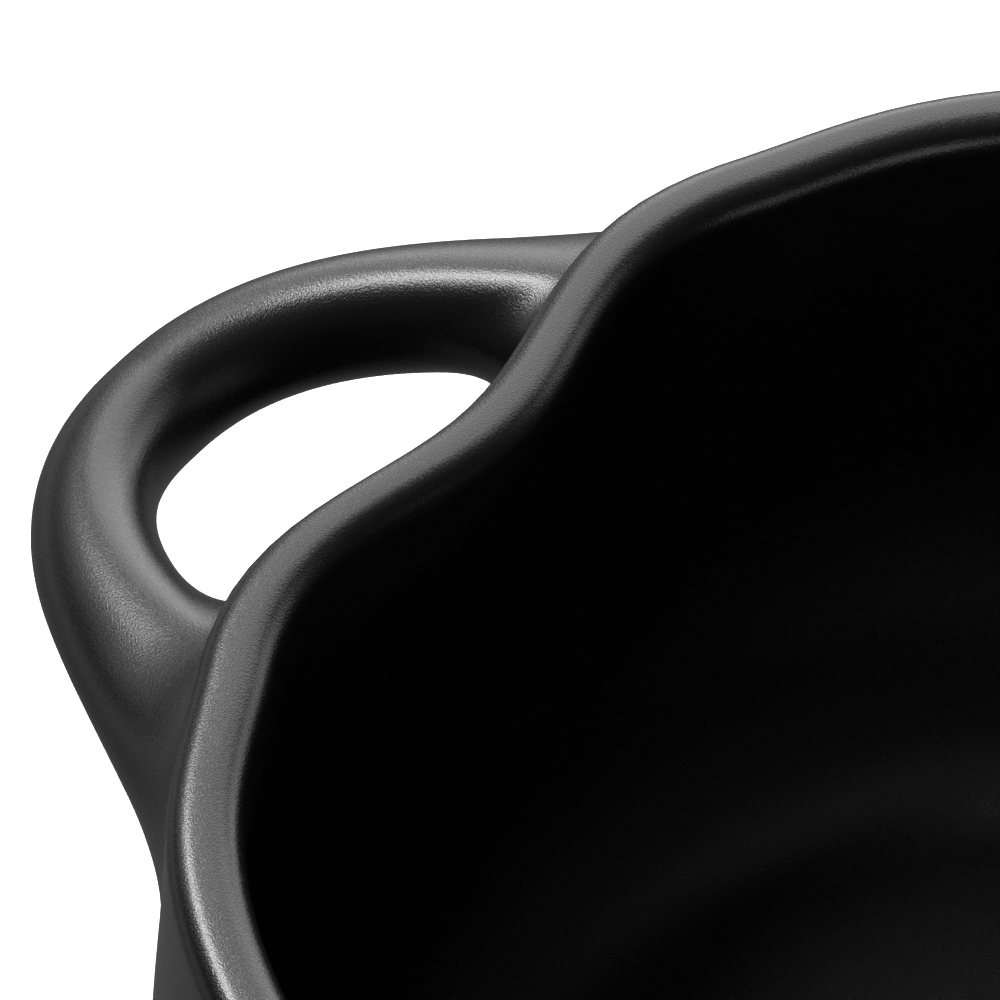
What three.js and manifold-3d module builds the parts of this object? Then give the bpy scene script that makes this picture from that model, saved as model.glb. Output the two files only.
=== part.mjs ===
// Ceramic cocotte: a round bellied pot with a thick rim, pressed in at two sides behind a loop handle,
// and its loose lid with a knob. Millimetres, +Z up. The origin is the centre of the pot's base, the
// handles lie on the X axis, and the lid lies flat on the table behind the pot.

import * as THREE from "three";
import { mergeVertices } from "three/addons/utils/BufferGeometryUtils.js";
import Module from "manifold-3d";

const wasm = await Module();
wasm.setup();

// Pot: foot, belly, wall and rim
const POT_HEIGHT = 120;
const FOOT_RADIUS = 92;
const FOOT_TURN = 24; // how far the base runs on flat before it curls up
const BELLY_RADIUS = 128.7;
const BELLY_DROP = 51; // from the rim's top down to the widest part
const BELLY_UNDERSIDE = 34; // how long the belly stays upright below its widest part
const BELLY_SHOULDER = 9.3; // how long it stays upright above
const NECK_REACH = 20; // height over which the wall turns in to the rim
const NECK_SWELL = 1.1; // how far the neck stands outside the rim
const RIM_RADIUS = 126.6;
const RIM_WIDTH = 10.2;
const RIM_OUTER_EDGE = 3.7; // rounding of the rim's outer edge
const RIM_INNER_EDGE = 4.2; // rounding of its inner edge
const WALL = 9;
const FLOOR = 10;

// Finger press: the wall is pushed in behind each handle, and eases in on both sides of the press
const PRESS_DEPTH = 18.8;
const PRESS_HALF_ANGLE = THREE.MathUtils.degToRad(28.5);
const EASE_DEPTH = 4;
const EASE_SPREAD = THREE.MathUtils.degToRad(11.3);
const PRESS_HEIGHT = 70; // from the rim's top down to where the belly is round again

// Loop handle: a grip of oval section that swells into broad roots, smoothed out on to the wall
const HANDLE_STAND = 34.8; // from the rim's radius out to the middle of the grip
const HANDLE_DROP = 34.7; // from the rim's top down to the middle of the grip
const GRIP_HALF_WIDTH = 8.2;
const GRIP_HALF_HEIGHT = 8.9;
const GRIP_STRAIGHT = 36; // how far the grip runs along the wall before it turns in
const ROOT_SPREAD = 45.3; // from the handle's middle to the middle of a root
const ROOT_RUN = 16.5; // how far a root runs straight in to the wall
const ROOT_SINK = 18; // how far its middle lies inside the rim's radius
const ROOT_DROP = 22.9; // from the rim's top down to the middle of a root
const ROOT_AWAY_WIDTH = 25.2; // from a root's middle line to its side away from the finger hole,
const ROOT_HOLE_WIDTH = 14.7; // and to the side of the hole
const ROOT_HALF_HEIGHT = 14.1;
const AWAY_SWELL = 2.4; // how late the grip swells into the root: on the side away from the hole,
const HOLE_SWELL = 5.7; // on the side of the hole,
const HEIGHT_SWELL = 6.4; // and in height
const ROOT_FALL = 1.3; // how late the root leaves the grip's height
const ROOT_SQUARENESS = 1.85; // 2 is an oval section, more is squarer, less is more like a roof
const FLARE_TOP = 3; // how much further a root reaches where it meets the wall: on top,
const FLARE_UNDER = 11.9; // underneath,
const FLARE_AWAY = 17.9; // on the side away from the hole
const FLARE_HOLE = 21; // and on the side of the hole
const FLARE_TOP_RUN = 10; // distance from the wall over which each of these widens
const FLARE_UNDER_RUN = 10.9;
const FLARE_AWAY_RUN = 31.2;
const FLARE_HOLE_RUN = 21;
const FLARE_DIP = 2.1; // how far the flare's edge dips into the wall, so that it ends on a clean line
const ROOT_KEY = 4; // how deep a root's end reaches into the wall before it is cut back to the joint
const LUTE_GAP = 0.3; // joint between a handle, or the knob, and what it is luted to

// Lid: a low dome whose edge follows the pressed rim, with a ring that drops into the mouth
const LID_INSET = 1.5; // from the rim's outer edge in to the lid's edge
const LID_EDGE = 7;
const LID_EDGE_ROUND = 2.5;
const LID_WALL = 7;
const LID_RISE = 30; // from the seat to the top of the dome
const LID_SHOULDER = 34; // how far the top runs in from the edge before it climbs
const LID_RING_HEIGHT = 9;
const LID_RING_WIDTH = 6;
const LID_RING_CLEARANCE = 1.6;
const LID_PRESS_START = 62; // radius at which the press begins to show on the lid
const LID_SPACE = 16.2; // table left free between the pot and the lid

// Knob
const KNOB_FOOT_RADIUS = 13;
const KNOB_WAIST_RADIUS = 9.5;
const KNOB_WAIST_HEIGHT = 9;
const KNOB_HEAD_RADIUS = 19;
const KNOB_HEAD_HEIGHT = 20; // height of the head's widest part
const KNOB_HEIGHT = 28;
const KNOB_CROWN_RADIUS = 8; // flat on top of the head
const KNOB_PAD_MARGIN = 3; // flat left on the lid round the knob's foot

// Facets
const POT_SIDES = 72;
const LID_SIDES = 60;
const KNOB_SIDES = 24;
const CURVE_STEPS = 7; // along each long curve of a profile
const EDGE_STEPS = 3; // round each edge
const GRIP_STEPS = 30; // from the handle's middle to a root
const GRIP_SIDES = 24;

const glaze = (roughness) => new THREE.MeshStandardMaterial({ color: 0x141414, roughness, metalness: 0 });

// A closed geometry as a solid: one vertex where corners meet, and no triangle without area
function toSolid(geometry) {
  const bare = geometry.clone();
  bare.deleteAttribute("normal");
  bare.deleteAttribute("uv");
  const merged = mergeVertices(bare, 1e-3);
  const corners = merged.getIndex().array;
  const triVerts = [];
  for (let i = 0; i < corners.length; i += 3) {
    const [a, b, c] = corners.slice(i, i + 3);
    if (a !== b && b !== c && c !== a) triVerts.push(a, b, c);
  }
  const vertProperties = new Float32Array(merged.getAttribute("position").array);
  const corners32 = new Uint32Array(triVerts);
  return new wasm.Manifold(new wasm.Mesh({ numProp: 3, vertProperties, triVerts: corners32 }));
}

function toMesh(name, solid, material) {
  const { vertProperties, triVerts } = solid.getMesh();
  const geometry = new THREE.BufferGeometry();
  geometry.setAttribute("position", new THREE.BufferAttribute(vertProperties, 3));
  geometry.setIndex(new THREE.BufferAttribute(triVerts, 1));
  geometry.computeVertexNormals();
  const mesh = new THREE.Mesh(geometry, material);
  mesh.name = name;
  return mesh;
}

const at = (x, y) => new THREE.Vector2(x, y);
const round = (x, y, r, start, end) => new THREE.EllipseCurve(x, y, r, r, start, end).getPoints(EDGE_STEPS);

// A curve between two points, with the pull on it as it leaves the first and as it arrives at the second
function bend(from, leave, arrive, to) {
  const pullFrom = at(from.x + leave[0], from.y + leave[1]);
  const pullTo = at(to.x + arrive[0], to.y + arrive[1]);
  return new THREE.CubicBezierCurve(from, pullFrom, pullTo, to).getPoints(CURVE_STEPS);
}

// A profile of radius and height, turned about the Z axis
function turn(runs, sides) {
  const profile = runs.flat().filter((p, i, all) => i === 0 || p.distanceTo(all[i - 1]) > 1e-6);
  return new THREE.LatheGeometry(profile, sides).rotateX(Math.PI / 2);
}

// How far the press moves the wall in, for a direction given by its angle from the nearer handle
function pressAt(angle) {
  const press = angle < PRESS_HALF_ANGLE ? (1 + Math.cos((Math.PI * angle) / PRESS_HALF_ANGLE)) / 2 : 0;
  const ease = Math.exp(-(((angle - PRESS_HALF_ANGLE) / EASE_SPREAD) ** 2));
  return PRESS_DEPTH * press + EASE_DEPTH * ease;
}

// Pushes a turned form in behind both handles, as far as its weight at each radius and height says
function pressIn(geometry, weight) {
  const position = geometry.getAttribute("position");
  for (let i = 0; i < position.count; i += 1) {
    const x = position.getX(i);
    const y = position.getY(i);
    const radius = Math.hypot(x, y);
    const inward = pressAt(Math.atan2(Math.abs(y), Math.abs(x))) * weight(radius, position.getZ(i));
    const scale = radius > 0 ? (radius - inward) / radius : 1;
    position.setXY(i, x * scale, y * scale);
  }
  return geometry;
}

const MOUTH_RADIUS = RIM_RADIUS - RIM_WIDTH;
const BELLY_HEIGHT = POT_HEIGHT - BELLY_DROP;
const fadeDownWall = (radius, z) => THREE.MathUtils.smoothstep(z, POT_HEIGHT - PRESS_HEIGHT, POT_HEIGHT);
const fadeToCentre = (radius) => THREE.MathUtils.smoothstep(radius, LID_PRESS_START, MOUTH_RADIUS);

// The pot's outside from the centre of its base to the rim's outer edge, moved out by a gap
function outside(gap) {
  const foot = at(FOOT_RADIUS + gap, -gap);
  const belly = at(BELLY_RADIUS + gap, BELLY_HEIGHT);
  const neck = at(RIM_RADIUS + gap, POT_HEIGHT - RIM_OUTER_EDGE);
  return [
    at(0, -gap),
    bend(foot, [FOOT_TURN, 0], [0, -BELLY_UNDERSIDE], belly),
    bend(belly, [0, BELLY_SHOULDER], [NECK_SWELL, -NECK_REACH], neck),
  ];
}

const innerFoot = at(FOOT_RADIUS - WALL, FLOOR);
const innerBelly = at(BELLY_RADIUS - WALL, BELLY_HEIGHT);
const mouth = at(MOUTH_RADIUS, POT_HEIGHT - RIM_INNER_EDGE);
const rimOuterRound = at(RIM_RADIUS - RIM_OUTER_EDGE, POT_HEIGHT - RIM_OUTER_EDGE);
const rimInnerRound = at(MOUTH_RADIUS + RIM_INNER_EDGE, POT_HEIGHT - RIM_INNER_EDGE);
const potTurned = turn(
  [
    ...outside(0),
    round(rimOuterRound.x, rimOuterRound.y, RIM_OUTER_EDGE, 0, Math.PI / 2),
    round(rimInnerRound.x, rimInnerRound.y, RIM_INNER_EDGE, Math.PI / 2, Math.PI),
    bend(mouth, [NECK_SWELL, -NECK_REACH], [0, BELLY_SHOULDER], innerBelly),
    bend(innerBelly, [0, -BELLY_UNDERSIDE], [FOOT_TURN, 0], innerFoot),
    at(0, FLOOR),
  ],
  POT_SIDES,
);
const pot = toSolid(pressIn(potTurned, fadeDownWall));

// The pot without its hollow, grown by the joint's width: what a handle's roots are cut by
const wallTop = [at(RIM_RADIUS + LUTE_GAP, POT_HEIGHT), at(0, POT_HEIGHT)];
const wallTurned = turn([...outside(LUTE_GAP), ...wallTop], POT_SIDES);
const wallCutter = toSolid(pressIn(wallTurned, fadeDownWall));

// A skin over a row of rings that each have the same number of points, closed at both ends. Each patch is
// split across its shorter diagonal, so that both roots get the same facets.
function loft(rings) {
  const sides = rings[0].length;
  const points = rings.flat();
  const faces = [];
  for (let ring = 0; ring + 1 < rings.length; ring += 1) {
    for (let side = 0; side < sides; side += 1) {
      const a = ring * sides + side;
      const b = ring * sides + ((side + 1) % sides);
      const straight = points[a].distanceTo(points[b + sides]) < points[b].distanceTo(points[a + sides]);
      if (straight) faces.push(a, b + sides, b, a, a + sides, b + sides);
      else faces.push(a, a + sides, b, b, a + sides, b + sides);
    }
  }
  const last = (rings.length - 1) * sides;
  for (let side = 1; side + 1 < sides; side += 1) {
    faces.push(0, side, side + 1, last, last + side + 1, last + side);
  }
  return new THREE.BufferGeometry().setFromPoints(points).setIndex(faces);
}

// The handle's middle line in plan from the grip's middle to a root, as distance out and distance along
const ROOT_OUT = Math.sqrt(RIM_RADIUS ** 2 - ROOT_SPREAD ** 2) - ROOT_SINK;
const HANDLE_OUT = RIM_RADIUS + HANDLE_STAND;
const planLine = new THREE.CubicBezierCurve(
  at(HANDLE_OUT, 0),
  at(HANDLE_OUT, GRIP_STRAIGHT),
  at(ROOT_OUT + ROOT_RUN, ROOT_SPREAD),
  at(ROOT_OUT, ROOT_SPREAD),
);

// How far a point lies outside the pot's wall, measured square to the pot's axis
const wallProfile = outside(LUTE_GAP).flat();
function clearOfWall(point) {
  const top = wallProfile.findIndex((p) => p.y >= point.z);
  const above = wallProfile[top < 1 ? wallProfile.length - 1 : top];
  const below = wallProfile[top < 1 ? wallProfile.length - 2 : top - 1];
  const radius = THREE.MathUtils.mapLinear(point.z, below.y, above.y, below.x, above.x);
  const press = pressAt(Math.atan2(Math.abs(point.y), Math.abs(point.x))) * fadeDownWall(radius, point.z);
  return Math.hypot(point.x, point.y) - radius + press;
}

// One section across the middle line, at a share of the way from the grip to the root. It swells most on the
// side away from the finger hole. Near the wall it widens and lies down on the wall, so that the root's skin
// runs out on to it. The top of a root stops where the rim's edge begins.
const ROOT_TOP = POT_HEIGHT - RIM_OUTER_EDGE;
function section(share, side, inward = 0) {
  const { lerp, clamp } = THREE.MathUtils;
  const middle = planLine.getPoint(share);
  const run = planLine.getTangent(share);
  const halfHeight = lerp(GRIP_HALF_HEIGHT, ROOT_HALF_HEIGHT, share ** HEIGHT_SWELL);
  const height = POT_HEIGHT - lerp(HANDLE_DROP, ROOT_DROP, share ** ROOT_FALL);
  const squareness = lerp(2, ROOT_SQUARENESS, share);
  const place = (sideways, lift) => {
    const out = middle.x + run.y * sideways;
    const along = middle.y - run.x * sideways;
    return new THREE.Vector3(out, along, Math.min(height + lift, ROOT_TOP));
  };
  const ring = [];
  for (let i = 0; i < GRIP_SIDES; i += 1) {
    const level = Math.cos((2 * Math.PI * i) / GRIP_SIDES);
    const upright = Math.sin((2 * Math.PI * i) / GRIP_SIDES);
    const fullness = (Math.abs(level) ** squareness + Math.abs(upright) ** squareness) ** (-1 / squareness);
    const across = level * fullness;
    const up = upright * fullness;
    const away = level > 0;
    const rootWidth = away ? ROOT_AWAY_WIDTH : ROOT_HOLE_WIDTH;
    const halfWidth = lerp(GRIP_HALF_WIDTH, rootWidth, share ** (away ? AWAY_SWELL : HOLE_SWELL));
    const sideways = halfWidth * across;
    const lift = halfHeight * up;
    const clear = clearOfWall(place(sideways, lift));
    const flareUp = upright > 0 ? FLARE_TOP : FLARE_UNDER;
    const flareUpRun = upright > 0 ? FLARE_TOP_RUN : FLARE_UNDER_RUN;
    const reach = lerp(flareUp, away ? FLARE_AWAY : FLARE_HOLE, level ** 2);
    const reachRun = lerp(flareUpRun, away ? FLARE_AWAY_RUN : FLARE_HOLE_RUN, level ** 2);
    const near = (1 - Math.sqrt(clamp(clear / reachRun, 0, 1))) ** 2;
    const flare = reach * near;
    const point = place(sideways + flare * level, lift + flare * upright);
    const settle = clearOfWall(point) - Math.max(clear, -ROOT_KEY) + FLARE_DIP * near;
    const scale = 1 - settle / Math.hypot(point.x, point.y);
    ring.push(new THREE.Vector3(point.x * scale - inward, side * point.y * scale, point.z));
  }
  return ring;
}

// The whole loop from one root round to the other, with its ends run on into the wall
const steps = Array.from({ length: GRIP_STEPS + 1 }, (unused, i) => i / GRIP_STEPS);
const loopRings = [
  section(1, -1, WALL),
  ...steps.toReversed().map((share) => section(share, -1)),
  ...steps.slice(1).map((share) => section(share, 1)),
  section(1, 1, WALL),
];
const loop = loft(loopRings);
const handleRight = toSolid(loop).subtract(wallCutter);
const handleLeft = toSolid(loop.clone().rotateZ(Math.PI)).subtract(wallCutter);

// Lid, standing on the ring that drops into the mouth
const LID_RADIUS = RIM_RADIUS - LID_INSET;
const RING_RADIUS = MOUTH_RADIUS - LID_RING_CLEARANCE;
const RING_INSIDE = RING_RADIUS - LID_RING_WIDTH;
const LID_TOP = LID_RING_HEIGHT + LID_RISE;
const KNOB_PAD_RADIUS = KNOB_FOOT_RADIUS + KNOB_PAD_MARGIN;
const underTop = at(KNOB_PAD_RADIUS, LID_TOP - LID_WALL);
const underEdge = at(RING_INSIDE, LID_RING_HEIGHT);
const lidEdge = at(LID_RADIUS, LID_RING_HEIGHT + LID_EDGE - LID_EDGE_ROUND);
const lidShoulder = at(LID_RADIUS - LID_EDGE_ROUND, LID_RING_HEIGHT + LID_EDGE);
const lidPad = at(KNOB_PAD_RADIUS, LID_TOP);
const lidTurned = turn(
  [
    at(0, LID_TOP - LID_WALL),
    bend(underTop, [LID_SHOULDER, 0], [-LID_SHOULDER, LID_WALL], underEdge),
    at(RING_INSIDE, 0),
    at(RING_RADIUS, 0),
    at(RING_RADIUS, LID_RING_HEIGHT),
    at(LID_RADIUS, LID_RING_HEIGHT),
    round(lidShoulder.x, lidEdge.y, LID_EDGE_ROUND, 0, Math.PI / 2),
    bend(lidShoulder, [-LID_SHOULDER, LID_WALL], [LID_SHOULDER, 0], lidPad),
    at(0, LID_TOP),
  ],
  LID_SIDES,
);
const lid = toSolid(pressIn(lidTurned, fadeToCentre));

// Knob: a foot, a waist and a round head, luted to the flat on top of the lid
const knobFoot = at(KNOB_FOOT_RADIUS, 0);
const knobWaist = at(KNOB_WAIST_RADIUS, KNOB_WAIST_HEIGHT);
const knobHead = at(KNOB_HEAD_RADIUS, KNOB_HEAD_HEIGHT);
const knobCrown = at(KNOB_CROWN_RADIUS, KNOB_HEIGHT);
const waistRun = KNOB_WAIST_HEIGHT / 2;
const headRun = (KNOB_HEIGHT - KNOB_HEAD_HEIGHT) / 2;
const knobTurned = turn(
  [
    at(0, 0),
    bend(knobFoot, [0, waistRun / 2], [0, -waistRun], knobWaist),
    bend(knobWaist, [0, waistRun], [0, -headRun], knobHead),
    bend(knobHead, [0, headRun], [headRun, 0], knobCrown),
    at(0, KNOB_HEIGHT),
  ],
  KNOB_SIDES,
);
const knob = toSolid(knobTurned);

const cocotte = new THREE.Group();
cocotte.add(toMesh("pot_body", pot, glaze(0.45)));
cocotte.add(toMesh("handle_left", handleLeft, glaze(0.42)));
cocotte.add(toMesh("handle_right", handleRight, glaze(0.42)));

const lidGroup = new THREE.Group();
lidGroup.position.set(0, BELLY_RADIUS + LID_SPACE + LID_RADIUS, 0);
lidGroup.add(toMesh("lid", lid, glaze(0.45)));
const knobMesh = toMesh("lid_knob", knob, glaze(0.42));
knobMesh.position.set(0, 0, LID_TOP + LUTE_GAP);
lidGroup.add(knobMesh);
cocotte.add(lidGroup);

export default cocotte;
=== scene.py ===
# Ceramic cocotte in satin black glaze. The pot stands open, and its lid lies behind it. Metres, +Z up.
import math

import bmesh
import bpy
from mathutils import Matrix, Vector
from mathutils.geometry import interpolate_bezier


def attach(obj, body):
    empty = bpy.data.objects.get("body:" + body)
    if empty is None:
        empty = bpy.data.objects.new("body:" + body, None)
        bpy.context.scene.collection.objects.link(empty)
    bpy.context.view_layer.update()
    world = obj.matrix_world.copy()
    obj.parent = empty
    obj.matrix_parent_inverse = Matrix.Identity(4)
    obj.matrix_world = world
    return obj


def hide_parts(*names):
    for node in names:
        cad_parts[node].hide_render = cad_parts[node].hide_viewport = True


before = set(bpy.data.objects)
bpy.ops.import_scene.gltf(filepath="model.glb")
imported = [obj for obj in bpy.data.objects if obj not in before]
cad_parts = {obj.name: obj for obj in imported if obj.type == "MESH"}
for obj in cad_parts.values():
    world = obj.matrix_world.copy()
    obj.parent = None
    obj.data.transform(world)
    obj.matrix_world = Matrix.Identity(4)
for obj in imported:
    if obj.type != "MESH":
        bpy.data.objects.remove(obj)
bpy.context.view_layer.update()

# Pot body
# A round bellied stoneware vessel with a thick rolled rim, thrown in one piece and pushed in by hand behind
# each handle while the clay was soft. Satin black glaze all over, wiped off the flat base it was fired on.
MM = 0.001
pot_height = 120 * MM
foot_radius = 92 * MM
foot_turn = 24 * MM
belly_radius = 128.7 * MM
belly_height = 69 * MM
belly_underside = 34 * MM
belly_shoulder = 9.3 * MM
neck_reach = 20 * MM
neck_swell = 1.1 * MM
rim_radius = 126.6 * MM
rim_width = 10.2 * MM
rim_outer_edge = 3.7 * MM
rim_inner_edge = 4.2 * MM
wall = 9 * MM
floor_height = 10 * MM
mouth_radius = rim_radius - rim_width
pot_rounds = 180
same_point = 0.001 * MM

press_depth = 18.8 * MM
press_half_angle = math.radians(28.5)
ease_depth = 4 * MM
ease_spread = math.radians(11.3)
press_height = 70 * MM


def at(radius, height):
    return Vector((radius, 0, height))


def bend(start, leave, arrive, end, points=20):
    return interpolate_bezier(start, start + at(*leave), end + at(*arrive), end, points)


def round_edge(start, leave, arrive, end, points=9):
    hold = 0.5523
    return bend(start, [hold * v for v in leave], [hold * v for v in arrive], end, points)


def throw(profile, rounds):
    form = bmesh.new()
    line = [form.verts.new(profile[0])]
    for before, point in zip(profile, profile[1:]):
        if (point - before).length > same_point:
            line.append(form.verts.new(point))
    edges = [form.edges.new(pair) for pair in zip(line, line[1:])]
    bmesh.ops.spin(
        form,
        geom=line + edges,
        cent=(0, 0, 0),
        axis=(0, 0, 1),
        angle=2 * math.pi,
        steps=rounds,
        use_merge=True,
    )
    bmesh.ops.remove_doubles(form, verts=form.verts, dist=same_point)
    bmesh.ops.recalc_face_normals(form, faces=form.faces)
    return form


def smooth_step(value, low, high):
    t = min(max((value - low) / (high - low), 0), 1)
    return t * t * (3 - 2 * t)


def press_at(x, y):
    angle = math.atan2(abs(y), abs(x))
    press = (1 + math.cos(math.pi * angle / press_half_angle)) / 2 if angle < press_half_angle else 0
    return press_depth * press + ease_depth * math.exp(-(((angle - press_half_angle) / ease_spread) ** 2))


def press_in(form, share):
    for v in form.verts:
        radius = math.hypot(v.co.x, v.co.y)
        if radius > same_point:
            v.co.xy *= 1 - press_at(v.co.x, v.co.y) * share(radius, v.co.z) / radius


def down_wall(radius, height):
    return smooth_step(height, pot_height - press_height, pot_height)


def fire(name, form, glaze):
    mesh = bpy.data.meshes.new(name)
    for face in form.faces:
        face.smooth = True
    form.to_mesh(mesh)
    form.free()
    piece = bpy.data.objects.new(name, mesh)
    bpy.context.scene.collection.objects.link(piece)
    mesh.materials.append(glaze)
    return piece


glaze_tones = ((0.0022, 0.0022, 0.0023, 1), (0.0038, 0.0038, 0.0037, 1))
glaze_ior = 1.5
glaze_roughness = (0.24, 0.3)
clay_tones = ((0.2, 0.15, 0.11, 1), (0.27, 0.21, 0.16, 1))
clay_extra_roughness = 0.6
wiped_height = 0.4 * MM
glazed_all_over = -1
cloud_scale = 34
cloud_detail = 4
cloud_band = (0.3, 0.7)
grain_scale = 3600
grain_detail = 2
grain_peaks = (0.5, 0.72)
grain_sparkle = (0.48, 0.66)
grain_strength = 0.85
grain_depth = 0.06 * MM


def mottle(nodes, links, place, scale, detail):
    noise = nodes.new("ShaderNodeTexNoise")
    noise.inputs["Scale"].default_value = scale
    noise.inputs["Detail"].default_value = detail
    links.new(place.outputs["Object"], noise.inputs["Vector"])
    return noise.outputs["Fac"]


def two_tone(nodes, links, value, tones):
    ramp = nodes.new("ShaderNodeValToRGB")
    for stop, position, tone in zip(ramp.color_ramp.elements, cloud_band, tones):
        stop.position = position
        stop.color = tone
    links.new(value, ramp.inputs["Fac"])
    return ramp.outputs["Color"]


def grade(nodes, links, value, across, onto):
    graded = nodes.new("ShaderNodeMapRange")
    for name, number in zip(("From Min", "From Max", "To Min", "To Max"), (*across, *onto)):
        graded.inputs[name].default_value = number
    links.new(value, graded.inputs["Value"])
    return graded.outputs["Result"]


def satin_glaze(name, bare_below):
    glaze = bpy.data.materials.new(name)
    glaze.use_nodes = True
    nodes, links = glaze.node_tree.nodes, glaze.node_tree.links
    shader = nodes["Principled BSDF"]
    shader.inputs["IOR"].default_value = glaze_ior
    place = nodes.new("ShaderNodeTexCoord")

    height = nodes.new("ShaderNodeSeparateXYZ")
    links.new(place.outputs["Object"], height.inputs["Vector"])
    wiped = nodes.new("ShaderNodeMath")
    wiped.operation = "LESS_THAN"
    wiped.inputs[1].default_value = bare_below
    links.new(height.outputs["Z"], wiped.inputs[0])

    cloud = mottle(nodes, links, place, cloud_scale, cloud_detail)
    colour = nodes.new("ShaderNodeMix")
    colour.data_type = "RGBA"
    links.new(wiped.outputs["Value"], colour.inputs["Factor"])
    links.new(two_tone(nodes, links, cloud, glaze_tones), colour.inputs["A"])
    links.new(two_tone(nodes, links, cloud, clay_tones), colour.inputs["B"])
    links.new(colour.outputs["Result"], shader.inputs["Base Color"])

    grain = mottle(nodes, links, place, grain_scale, grain_detail)
    rough = nodes.new("ShaderNodeMath")
    rough.operation = "MULTIPLY_ADD"
    rough.inputs[1].default_value = clay_extra_roughness
    links.new(wiped.outputs["Value"], rough.inputs[0])
    links.new(grade(nodes, links, grain, (0, 1), glaze_roughness), rough.inputs[2])
    links.new(rough.outputs["Value"], shader.inputs["Roughness"])
    sparkle = grade(nodes, links, grain, grain_peaks, grain_sparkle)
    links.new(sparkle, shader.inputs["Specular IOR Level"])
    skin = nodes.new("ShaderNodeBump")
    skin.inputs["Strength"].default_value = grain_strength
    skin.inputs["Distance"].default_value = grain_depth
    links.new(grain, skin.inputs["Height"])
    links.new(skin.outputs["Normal"], shader.inputs["Normal"])
    return glaze


outside = bend(at(foot_radius, 0), (foot_turn, 0), (0, -belly_underside), at(belly_radius, belly_height))
neck = at(rim_radius, pot_height - rim_outer_edge)
outside += bend(outside[-1], (0, belly_shoulder), (neck_swell, -neck_reach), neck)
outer_edge = round_edge(
    neck, (0, rim_outer_edge), (rim_outer_edge, 0), at(rim_radius - rim_outer_edge, pot_height)
)
mouth = at(mouth_radius, pot_height - rim_inner_edge)
inner_edge = round_edge(
    at(mouth_radius + rim_inner_edge, pot_height), (-rim_inner_edge, 0), (0, rim_inner_edge), mouth
)
inner_belly = at(belly_radius - wall, belly_height)
inside = bend(mouth, (neck_swell, -neck_reach), (0, belly_shoulder), inner_belly)
inside += bend(inner_belly, (0, -belly_underside), (foot_turn, 0), at(foot_radius - wall, floor_height))
pot_profile = [at(0, 0), *outside, *outer_edge, *inner_edge, *inside, at(0, floor_height)]

pot = throw(pot_profile, pot_rounds)
press_in(pot, down_wall)
pot_body = fire("pot_body_glazed", pot, satin_glaze("pot_glaze", wiped_height))
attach(pot_body, "pot")
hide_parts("pot_body")

# Loop handles
# Two loops of rolled clay, luted to the pressed wall before firing. Each is a round grip that swells into
# tall roots, with the clay smoothed out on to the wall by a thumb. The same glaze covers loop and wall.
handle_stand = 34.8 * MM
handle_drop = 34.7 * MM
grip_half_width = 8.2 * MM
grip_half_height = 8.9 * MM
grip_straight = 36 * MM
root_spread = 45.3 * MM
root_run = 16.5 * MM
root_sink = 18 * MM
root_drop = 22.9 * MM
root_away_width = 25.2 * MM
root_hole_width = 14.7 * MM
root_half_height = 14.1 * MM
away_swell = 2.4
hole_swell = 5.7
height_swell = 6.4
root_fall = 1.3
grip_squareness = 2
root_squareness = 1.85
smear_top = 3 * MM
smear_top_run = 10 * MM
smear_under = 11.9 * MM
smear_under_run = 10.9 * MM
smear_away = 17.9 * MM
smear_away_run = 31.2 * MM
smear_hole = 21 * MM
smear_hole_run = 21 * MM
smear_dip = 0.4 * MM
key_depth = 4 * MM
loop_stations = 90
loop_sides = 56

root_out = math.sqrt(rim_radius**2 - root_spread**2) - root_sink
loop_start = Vector((rim_radius + handle_stand, 0, 0))
loop_line = interpolate_bezier(
    loop_start,
    loop_start + Vector((0, grip_straight, 0)),
    Vector((root_out + root_run, root_spread, 0)),
    Vector((root_out, root_spread, 0)),
    loop_stations + 1,
)


def clear_of_wall(point):
    above = next((i for i, p in enumerate(outside) if p.z >= point.z), len(outside) - 1)
    above = max(above, 1)
    low, high = outside[above - 1], outside[above]
    share = (point.z - low.z) / (high.z - low.z) if high.z > low.z else 1
    radius = low.x + (high.x - low.x) * share
    press = press_at(point.x, point.y) * down_wall(radius, point.z)
    return math.hypot(point.x, point.y) - radius + press


def mix(low, high, share):
    return low + (high - low) * share


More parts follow.
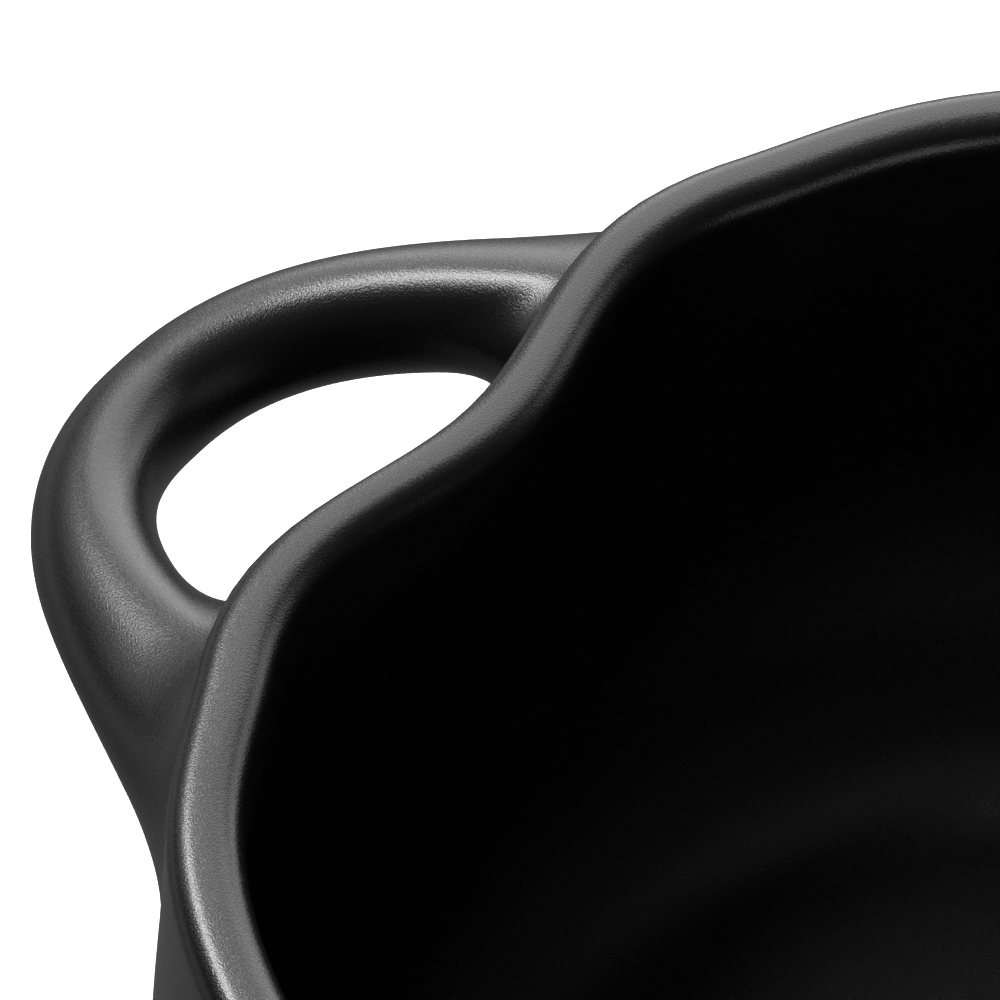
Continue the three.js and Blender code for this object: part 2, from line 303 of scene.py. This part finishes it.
def loop_section(form, station, side):
    share = station / loop_stations
    middle = loop_line[station]
    ahead = loop_line[min(station + 1, loop_stations)] - loop_line[max(station - 1, 0)]
    ahead.normalize()
    if station == 0:
        ahead = Vector((0, 1, 0))
    across_way = Vector((ahead.y, -ahead.x, 0))
    half_height = mix(grip_half_height, root_half_height, share**height_swell)
    height = pot_height - mix(handle_drop, root_drop, share**root_fall)
    squareness = mix(grip_squareness, root_squareness, share)
    ring = bmesh.ops.create_circle(form, segments=loop_sides, radius=1)["verts"]
    for v in ring:
        level_share, up_share = v.co.x, v.co.y
        fullness = (abs(level_share) ** squareness + abs(up_share) ** squareness) ** (-1 / squareness)
        across, up = level_share * fullness, up_share * fullness
        away = across > 0
        half_width = mix(
            grip_half_width,
            root_away_width if away else root_hole_width,
            share ** (away_swell if away else hole_swell),
        )
        place = middle + across_way * half_width * across + Vector((0, 0, height + half_height * up))
        clear = clear_of_wall(place)
        upright = (smear_top, smear_top_run) if up > 0 else (smear_under, smear_under_run)
        level = (smear_away, smear_away_run) if away else (smear_hole, smear_hole_run)
        reach, run = (mix(u, l, level_share**2) for u, l in zip(upright, level))
        near = (1 - math.sqrt(min(max(clear / run, 0), 1))) ** 2
        smear = reach * near
        place += across_way * smear * level_share + Vector((0, 0, smear * up_share))
        place.z = min(place.z, pot_height - rim_outer_edge)
        settle = clear_of_wall(place) - max(clear, -key_depth) + smear_dip * near
        place.xy *= 1 - settle / math.hypot(place.x, place.y)
        v.co = Vector((place.x, side * place.y, place.z))
    return ring


def roll_loop(turned):
    form = bmesh.new()
    stations = [(s, -1) for s in range(loop_stations, 0, -1)] + [(s, 1) for s in range(loop_stations + 1)]
    rings = [loop_section(form, station, side) for station, side in stations]
    loops = [list({e for v in ring for e in v.link_edges}) for ring in rings]
    for near_loop, far_loop in zip(loops, loops[1:]):
        bmesh.ops.bridge_loops(form, edges=near_loop + far_loop)
    ends = bmesh.ops.holes_fill(form, edges=loops[0] + loops[-1], sides=0)["faces"]
    for v in bmesh.ops.poke(form, faces=ends)["verts"]:
        v.co.xy *= 1 - (clear_of_wall(v.co) + key_depth) / math.hypot(v.co.x, v.co.y)
    bmesh.ops.rotate(form, verts=form.verts, cent=(0, 0, 0), matrix=Matrix.Rotation(turned, 3, "Z"))
    bmesh.ops.recalc_face_normals(form, faces=form.faces)
    return form


handle_glaze = satin_glaze("handle_glaze", glazed_all_over)
for node, turned in (("handle_right", 0), ("handle_left", math.pi)):
    loop = fire(node + "_glazed", roll_loop(turned), handle_glaze)
    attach(loop, "pot")
    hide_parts(node)

# Lid
# A low dome of the same clay whose edge follows the pressed rim, with a ring under it that drops into the
# pot's mouth. It was taken off and stands on that ring on the table.
lid_centre = Vector((0, 270 * MM, 0))
lid_inset = 1.5 * MM
lid_radius = rim_radius - lid_inset
lid_edge = 7 * MM
lid_edge_round = 2.5 * MM
lid_wall = 7 * MM
lid_shoulder = 34 * MM
lid_ring_height = 9 * MM
lid_rise = 30 * MM
lid_top = lid_ring_height + lid_rise
ring_play = 1.6 * MM
ring_wall = 6 * MM
ring_radius = mouth_radius - ring_play
ring_inside = ring_radius - ring_wall
lid_press_start = 62 * MM
knob_pad_radius = 16 * MM
lid_rounds = 160


def to_edge(radius, height):
    return smooth_step(radius, lid_press_start, mouth_radius)


under_top = at(knob_pad_radius, lid_top - lid_wall)
under = bend(under_top, (lid_shoulder, 0), (-lid_shoulder, lid_wall), at(ring_inside, lid_ring_height))
shoulder = at(lid_radius - lid_edge_round, lid_ring_height + lid_edge)
edge_top = at(lid_radius, lid_ring_height + lid_edge - lid_edge_round)
rounded = round_edge(edge_top, (0, lid_edge_round), (lid_edge_round, 0), shoulder)
dome = bend(shoulder, (-lid_shoulder, lid_wall), (lid_shoulder, 0), at(knob_pad_radius, lid_top))
ring = [at(ring_inside, 0), at(ring_radius, 0), at(ring_radius, lid_ring_height)]
seat = at(lid_radius, lid_ring_height)
lid_profile = [at(0, lid_top - lid_wall), *under, *ring, seat, *rounded, *dome, at(0, lid_top)]
lid_form = throw(lid_profile, lid_rounds)
press_in(lid_form, to_edge)
bmesh.ops.translate(lid_form, verts=lid_form.verts, vec=lid_centre)
lid = fire("lid_glazed", lid_form, satin_glaze("lid_glaze", wiped_height))
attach(lid, "cover")
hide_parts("lid")

# Lid knob
# A small turned knob of the same clay with a narrow waist and a round head, luted to the flat on top of the
# lid before firing and glazed with it.
knob_height = 28 * MM
knob_foot = at(13 * MM, 0)
knob_waist = at(9.5 * MM, 9 * MM)
knob_head = at(19 * MM, 20 * MM)
knob_crown = at(8 * MM, knob_height)
foot_curve = 2.25 * MM
waist_curve = 4.5 * MM
head_curve = 4 * MM
knob_rounds = 96

stem = bend(knob_foot, (0, foot_curve), (0, -waist_curve), knob_waist)
neck_out = bend(knob_waist, (0, waist_curve), (0, -head_curve), knob_head)
crown = bend(knob_head, (0, head_curve), (head_curve, 0), knob_crown)
knob_form = throw([at(0, 0), *stem, *neck_out, *crown, at(0, knob_height)], knob_rounds)
bmesh.ops.translate(knob_form, verts=knob_form.verts, vec=lid_centre + Vector((0, 0, lid_top)))
knob = fire("lid_knob_glazed", knob_form, satin_glaze("knob_glaze", glazed_all_over))
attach(knob, "cover")
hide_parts("lid_knob")

# Table, studio and camera
# A white table and background, with the table and sky dimmed in the glaze's reflections as painted shade,
# darkest near the pot, pale panels behind, on the right and in front, a softbox and a bright strip on the
# left, and a long lens from above that sees the left handle and part of the mouth.
table_radius = 6
table_sides = 96
table_gap = 0.2 * MM
paper_white = (0.8, 0.8, 0.8, 1)
# Painted shade: diffuse rays and most of each glossy ray see the table in this near-black tone, a shaded
# copy of the white paper the camera sees.
painted_shade_tone = (0.04, 0.04, 0.04, 1)
# Painted shade in reflections: the glaze sees 5 % of the white table near the pot, rising to 25 % from 0.4
# to 0.8 m out, as if the pot stood in its own shade.
dimmed_reflection_share = 0.05
far_gloss_share = 0.25
painted_shade_spread = (0.4, 0.8)
paper_shine = (0.5, 1)
shine_spread = (0.7, 1.4)

table_form = bmesh.new()
bmesh.ops.create_circle(
    table_form,
    cap_ends=True,
    segments=table_sides,
    radius=table_radius,
    matrix=Matrix.Translation((0, 0, -table_gap)),
)
table_mesh = bpy.data.meshes.new("table")
table_form.to_mesh(table_mesh)
table_form.free()
table = bpy.data.objects.new("table", table_mesh)
scene = bpy.context.scene
scene.collection.objects.link(table)


# Camera and transmission rays see the full white; glossy rays see only a small share of it, so the glaze
# reflects the table and sky as painted shade.
def seen_share(nodes, links, path):
    gloss = nodes.new("ShaderNodeMath")
    gloss.operation = "MULTIPLY"
    gloss.inputs[1].default_value = dimmed_reflection_share
    links.new(path.outputs["Is Glossy Ray"], gloss.inputs[0])
    through = nodes.new("ShaderNodeMath")
    through.operation = "MAXIMUM"
    links.new(path.outputs["Is Transmission Ray"], through.inputs[0])
    links.new(gloss.outputs["Value"], through.inputs[1])
    seen = nodes.new("ShaderNodeMath")
    seen.operation = "MAXIMUM"
    links.new(path.outputs["Is Camera Ray"], seen.inputs[0])
    links.new(through.outputs["Value"], seen.inputs[1])
    return gloss.inputs[1], seen.outputs["Value"]


white = bpy.data.materials.new("table_white")
white.use_nodes = True
nodes, links = white.node_tree.nodes, white.node_tree.links
nodes.remove(nodes["Principled BSDF"])
share, seen = seen_share(nodes, links, nodes.new("ShaderNodeLightPath"))
place = nodes.new("ShaderNodeTexCoord")
from_pot = nodes.new("ShaderNodeVectorMath")
from_pot.operation = "LENGTH"
links.new(place.outputs["Object"], from_pot.inputs[0])
distance = from_pot.outputs["Value"]
links.new(grade(nodes, links, distance, painted_shade_spread, (dimmed_reflection_share, far_gloss_share)), share)
paper = nodes.new("ShaderNodeBsdfDiffuse")
paper.inputs["Color"].default_value = paper_white
shine = nodes.new("ShaderNodeEmission")
links.new(grade(nodes, links, distance, shine_spread, paper_shine), shine.inputs["Strength"])
bright = nodes.new("ShaderNodeAddShader")
links.new(paper.outputs["BSDF"], bright.inputs[0])
links.new(shine.outputs["Emission"], bright.inputs[1])
# Painted shade: the near-black copy of the table that diffuse and glossy rays see.
painted_shade = nodes.new("ShaderNodeBsdfDiffuse")
painted_shade.inputs["Color"].default_value = painted_shade_tone
blend = nodes.new("ShaderNodeMixShader")
links.new(seen, blend.inputs["Fac"])
links.new(painted_shade.outputs["BSDF"], blend.inputs[1])
links.new(bright.outputs["Shader"], blend.inputs[2])
links.new(blend.outputs["Shader"], nodes["Material Output"].inputs["Surface"])
table_mesh.materials.append(white)

studio_white = (1, 1, 1, 1)
studio_fill = 0.35

world = bpy.data.worlds.new("studio")
scene.world = world
world.use_nodes = True
nodes, links = world.node_tree.nodes, world.node_tree.links
# The sky: white to the camera, a 0.35 fill for diffuse rays, and only 5 % of its white in glossy rays, a
# painted dark reflection in the glaze.
path = nodes.new("ShaderNodeLightPath")
share, seen = seen_share(nodes, links, path)
fill = nodes.new("ShaderNodeMath")
fill.operation = "MULTIPLY_ADD"
fill.inputs[1].default_value = studio_fill
links.new(path.outputs["Is Diffuse Ray"], fill.inputs[0])
links.new(seen, fill.inputs[2])
sky = nodes["Background"]
sky.inputs["Color"].default_value = studio_white
links.new(fill.outputs["Value"], sky.inputs["Strength"])

rim_centre = Vector((0, 0, pot_height))
turn = math.radians(30.95)
rise = math.radians(46.74)
to_right = Vector((math.cos(turn), math.sin(turn), 0))
away = Vector((-math.sin(turn), math.cos(turn), 0))
back = Vector((math.sin(turn) * math.cos(rise), -math.cos(turn) * math.cos(rise), math.sin(rise)))
upward = back.cross(to_right)


def lamp(name, azimuth, elevation, distance, width, height, radiance):
    light = bpy.data.lights.new(name, "AREA")
    light.shape = "RECTANGLE"
    light.size = width
    light.size_y = height
    light.energy = radiance * math.pi * width * height
    lit = bpy.data.objects.new(name, light)
    side, lift = math.radians(azimuth), math.radians(elevation)
    level = to_right * math.sin(side) + away * math.cos(side)
    way = level * math.cos(lift) + Vector((0, 0, math.sin(lift)))
    lit.location = rim_centre + way * distance
    lit.rotation_mode = "QUATERNION"
    lit.rotation_quaternion = way.to_track_quat("Z", "Y")
    scene.collection.objects.link(lit)
    lit.visible_camera = False


lamp("panel_behind", azimuth=0, elevation=30, distance=1.4, width=1.1, height=1.1, radiance=3.3)
lamp("panel_low", azimuth=8, elevation=8, distance=1.6, width=2.2, height=0.4, radiance=2.2)
lamp("panel_right", azimuth=42, elevation=20, distance=1.4, width=0.75, height=0.8, radiance=1.6)
lamp("softbox_left", azimuth=-48, elevation=22, distance=1.3, width=0.8, height=0.5, radiance=0.9)
lamp("strip_left", azimuth=-49, elevation=54, distance=1.3, width=0.3, height=0.88, radiance=26)
lamp("panel_above", azimuth=10, elevation=88, distance=1.3, width=1.1, height=1.1, radiance=0.12)
lamp("panel_front", azimuth=140, elevation=12, distance=1.5, width=0.8, height=0.45, radiance=2)

film_width = 36
focal_length = film_width * 9.71
camera_distance = 1.25
aim_left = 84.5 * MM
aim_up = 25.9 * MM
nearest = 0.05
farthest = 50

lens = bpy.data.cameras.new("camera")
lens.sensor_width = film_width
lens.lens = focal_length
lens.clip_start = nearest
lens.clip_end = farthest
camera = bpy.data.objects.new("camera", lens)
camera.location = rim_centre + back * camera_distance
aim = rim_centre - to_right * aim_left + upward * aim_up
camera.rotation_mode = "QUATERNION"
camera.rotation_quaternion = (aim - camera.location).to_track_quat("-Z", "Y")
scene.collection.objects.link(camera)
scene.camera = camera
scene.view_settings.view_transform = "Standard"
